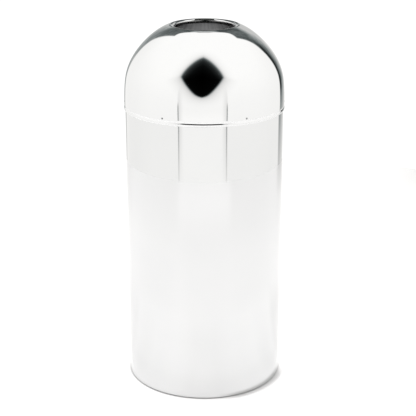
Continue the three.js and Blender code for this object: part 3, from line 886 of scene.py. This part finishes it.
hole_low = N.curve(Fx, tones([(0, 0), (0.7, 3), (0.86, 7), (0.9, 19), (0.95, 61), (1.0, 122), (1.05, 168), (1.1, 192), (1.15, 203), (1.2, 210), (1.3, 218),
                              (1.4, 223), (1.6, 230), (1.8, 234), (2.1, 238), (2.5, 241), (3.0, 243)], 243))
hole_up = N.curve(Fx, tones([(0, 0), (0.3, 6), (0.5, 13), (0.7, 30), (0.8, 46), (0.85, 57), (0.9, 70), (0.95, 95), (1.0, 134), (1.05, 174), (1.1, 206), (1.15, 220),
                             (1.2, 230), (1.3, 241), (1.4, 246), (1.6, 250), (1.8, 252), (2.2, 254), (3.0, 254)], 254))
hole = N.mix(N.step(pw_signed, -0.12, 0.12), hole_up, hole_low)
tent = N.mul(tone, hole)

# the two edges of the tent's front panel, from the floor up to the opening
for pos, inward in ((-37.2, 1.0), (31.9, -1.0)):
    off = N.mul(N.sub(az, pos), inward)
    d = N.abs(off)
    low_end = N.lin(el, -18.6, -15.0)
    core = N.mul(N.step(d, 1.3, 0.2), N.mul(low_end, N.step(el, -4.5, -10.0)))
    shade = N.mul(N.mul(N.step(off, 8.5, 0.4), N.step(off, -1.2, 0.3)), N.mul(low_end, N.step(el, 24.0, -12.0)))
    tent = N.mul(tent, N.mul(N.sub(1.0, N.mul(core, 0.60)), N.sub(1.0, N.mul(shade, 0.16))))

# unlit studio behind the tent, right and left of the backdrop
rt = N.lin(az, 130.0, 180.0)
low_r = N.curve(rt, [(0.0, 1.0), (0.115, 1.0), (0.15, 0.12), (0.19, 0.02), (0.25, 0.03), (0.32, 0.18), (0.40, 0.30), (0.50, 0.46), (0.60, 0.64), (0.72, 0.86), (0.84, 1.0), (1.0, 1.0)])
high_r = N.curve(rt, [(0.0, 1.0), (0.135, 1.0), (0.18, 0.16), (0.24, 0.10), (0.34, 0.13), (0.5, 0.14), (0.62, 0.09), (0.75, 0.07), (1.0, 0.06)])
rise = N.step(el, 7.0, 15.0)
pale = N.mix(N.mul(N.step(el, -4.0, 6.0), N.step(N.abs(az), 148.0, 158.0)), 1.0, 0.62)
low_r = N.m("MINIMUM", low_r, pale)
right_v = N.mix(N.mix(N.step(az, 170.0, 175.0), N.step(el, 19.0, 32.0), rise), low_r, high_r)
edge_l = N.add(145.0, N.mul(N.sub(45.0, el), 0.2))
lt = N.lin(N.sub(N.mul(az, -1.0), edge_l), -5.0, 35.0)
low_l = N.curve(lt, [(0.0, 1.0), (0.10, 1.0), (0.16, 0.40), (0.28, 0.36), (0.45, 0.45), (0.7, 0.70), (1.0, 1.0)])
low_l = N.sub(1.0, N.mul(N.inv(low_l), N.step(el, 18.0, -4.0, 1.2, 0.95)))
mid_l = N.curve(lt, [(0.0, 1.0), (0.08, 1.0), (0.15, 0.16), (0.3, 0.13), (0.45, 0.12), (0.7, 0.09), (1.0, 0.06)])
low_l = N.m("MINIMUM", low_l, pale)
left_v = N.mix(N.mix(N.step(az, -170.0, -175.0), N.step(el, 18.0, 31.0), rise), low_l, mid_l)
back = N.mix(N.m("GREATER_THAN", az, 0.0), left_v, right_v)
# darkest low down behind on both sides, a paler strip high up straight behind
far_az = N.abs(az)
deep = N.mul(N.mul(N.step(far_az, 171.0, 175.0), N.step(far_az, 180.0, 177.0)), N.mul(N.step(el, 46.0, 34.0), rise))
back = N.mul(back, N.sub(1.0, N.mul(deep, 0.75)))
back = N.mix(N.mul(N.step(far_az, 163.0, 173.0), N.step(el, 46.0, 51.0)), back, 0.40)
side = N.step(N.abs(az), 100.0, 101.0)
cut = N.add(N.add(48.5, N.mul(N.step(N.abs(az), 150.0, 168.0), 5.5)), N.mul(N.step(N.abs(az), 166.0, 175.0), 4.0))
grain = N.lin(N.noise(D, 16.0, 3.0, 0.6), 0.32, 0.68, -0.30, 0.30)
back = N.mul(back, N.add(1.0, N.mul(grain, N.step(back, 0.75, 0.25))))
window = N.mul(side, N.step(N.sub(el, cut), 1.4, -1.4))
window = N.mul(window, N.curve(N.lin(el, -20.0, 1.0), [(0.0, 0.0), (0.0238, 0.0), (0.114, 0.235), (0.167, 0.375), (0.214, 0.50), (0.267, 0.64), (0.367, 0.78), (0.524, 1.0)]))
tent = N.mul(tent, N.mix(window, 1.0, back))

lp = N.new("ShaderNodeLightPath")
bg_env = N.new("ShaderNodeBackground")
N.put(bg_env.inputs["Color"], N.mixc(N.step(tent, 0.0, 0.6), (0.87, 0.99, 0.99, 1), (1.0, 0.995, 0.980, 1)))
N.put(bg_env.inputs["Strength"], N.mul(tent, TENT))
bg_cam = N.new("ShaderNodeBackground")
bg_cam.inputs["Color"].default_value = (1, 1, 1, 1)
bg_cam.inputs["Strength"].default_value = 1.1
mixs = N.new("ShaderNodeMixShader")
N.put(mixs.inputs[0], lp.outputs["Is Camera Ray"])
N.put(mixs.inputs[1], bg_env.outputs[0])
N.put(mixs.inputs[2], bg_cam.outputs[0])
out = N.new("ShaderNodeOutputWorld")
N.put(out.inputs["Surface"], mixs.outputs[0])

# one broad soft light, high on the left and a little behind
key = bpy.data.lights.new("key_softbox", "AREA")
key.shape = "RECTANGLE"
key.size, key.size_y = 1.3, 1.3
key.energy = 4.0
key_ob = bpy.data.objects.new("key_softbox", key)
scene.collection.objects.link(key_ob)
key_ob.location = (-1.7, 0.9, 2.3)
key_ob.rotation_euler = (Vector((0, 0, 0.2)) - Vector(key_ob.location)).to_track_quat("-Z", "Y").to_euler()
key_ob.visible_glossy = False
key_ob.visible_camera = False

# small black flag over the back of the mouth; it only takes the shine off the middle of the far lip
card_mat, N, b = material("studio_flag", 0.0, (0.03, 0.031, 0.03), 0.9)
N.put(b.inputs["Base Color"], N.mixc(N.step(N.split(object_xyz(N))[1], 0.060, 0.072), (0.03, 0.031, 0.03, 1), (0.17, 0.18, 0.17, 1)))
b.inputs["Specular IOR Level"].default_value = 0.0
card_v = [(-0.0035, -0.060, 0.903), (0.0035, -0.060, 0.903), (0.0085, 0.020, 0.903), (0.0185, 0.062, 0.903), (0.0215, 0.098, 0.903),
          (-0.0215, 0.098, 0.903), (-0.0185, 0.062, 0.903), (-0.0085, 0.020, 0.903)]
card = mesh_object("studio_flag", card_v, [list(range(8))], [card_mat], sharp=None)
card.visible_camera = False
card.visible_diffuse = False
card.visible_shadow = False

# small light that reaches in through the mouth
fill = bpy.data.lights.new("mouth_fill", "SPOT")
fill.energy = 450.0
fill.spot_size = math.radians(4.2)
fill.spot_blend = 1.0
fill.shadow_soft_size = 0.06
fill_ob = bpy.data.objects.new("mouth_fill", fill)
scene.collection.objects.link(fill_ob)
fill_ob.location = (0.0, -2.3, 1.42)
fill_ob.rotation_euler = (Vector((0, 0.05, 0.872)) - Vector(fill_ob.location)).to_track_quat("-Z", "Y").to_euler()
fill_ob.visible_glossy = False
fill_ob.visible_camera = False

# ------------------------------------------------------------------ camera
cam = bpy.data.cameras.new("camera")
cam.sensor_width = 36.0
cam.lens = 102.40
cam.shift_x = (208.0 - 204.45) / 416.0
cam.shift_y = 0.0
cam_ob = bpy.data.objects.new("camera", cam)
scene.collection.objects.link(cam_ob)
cam_ob.location = (0.0, -2.7817, 1.3802)
cam_ob.rotation_euler = (math.radians(90 - 18.885), 0.0, 0.0)
scene.camera = cam_ob

scene.view_settings.view_transform = "Standard"
scene.view_settings.look = "None"
scene.view_settings.exposure = 0.0
scene.view_settings.gamma = 1.0
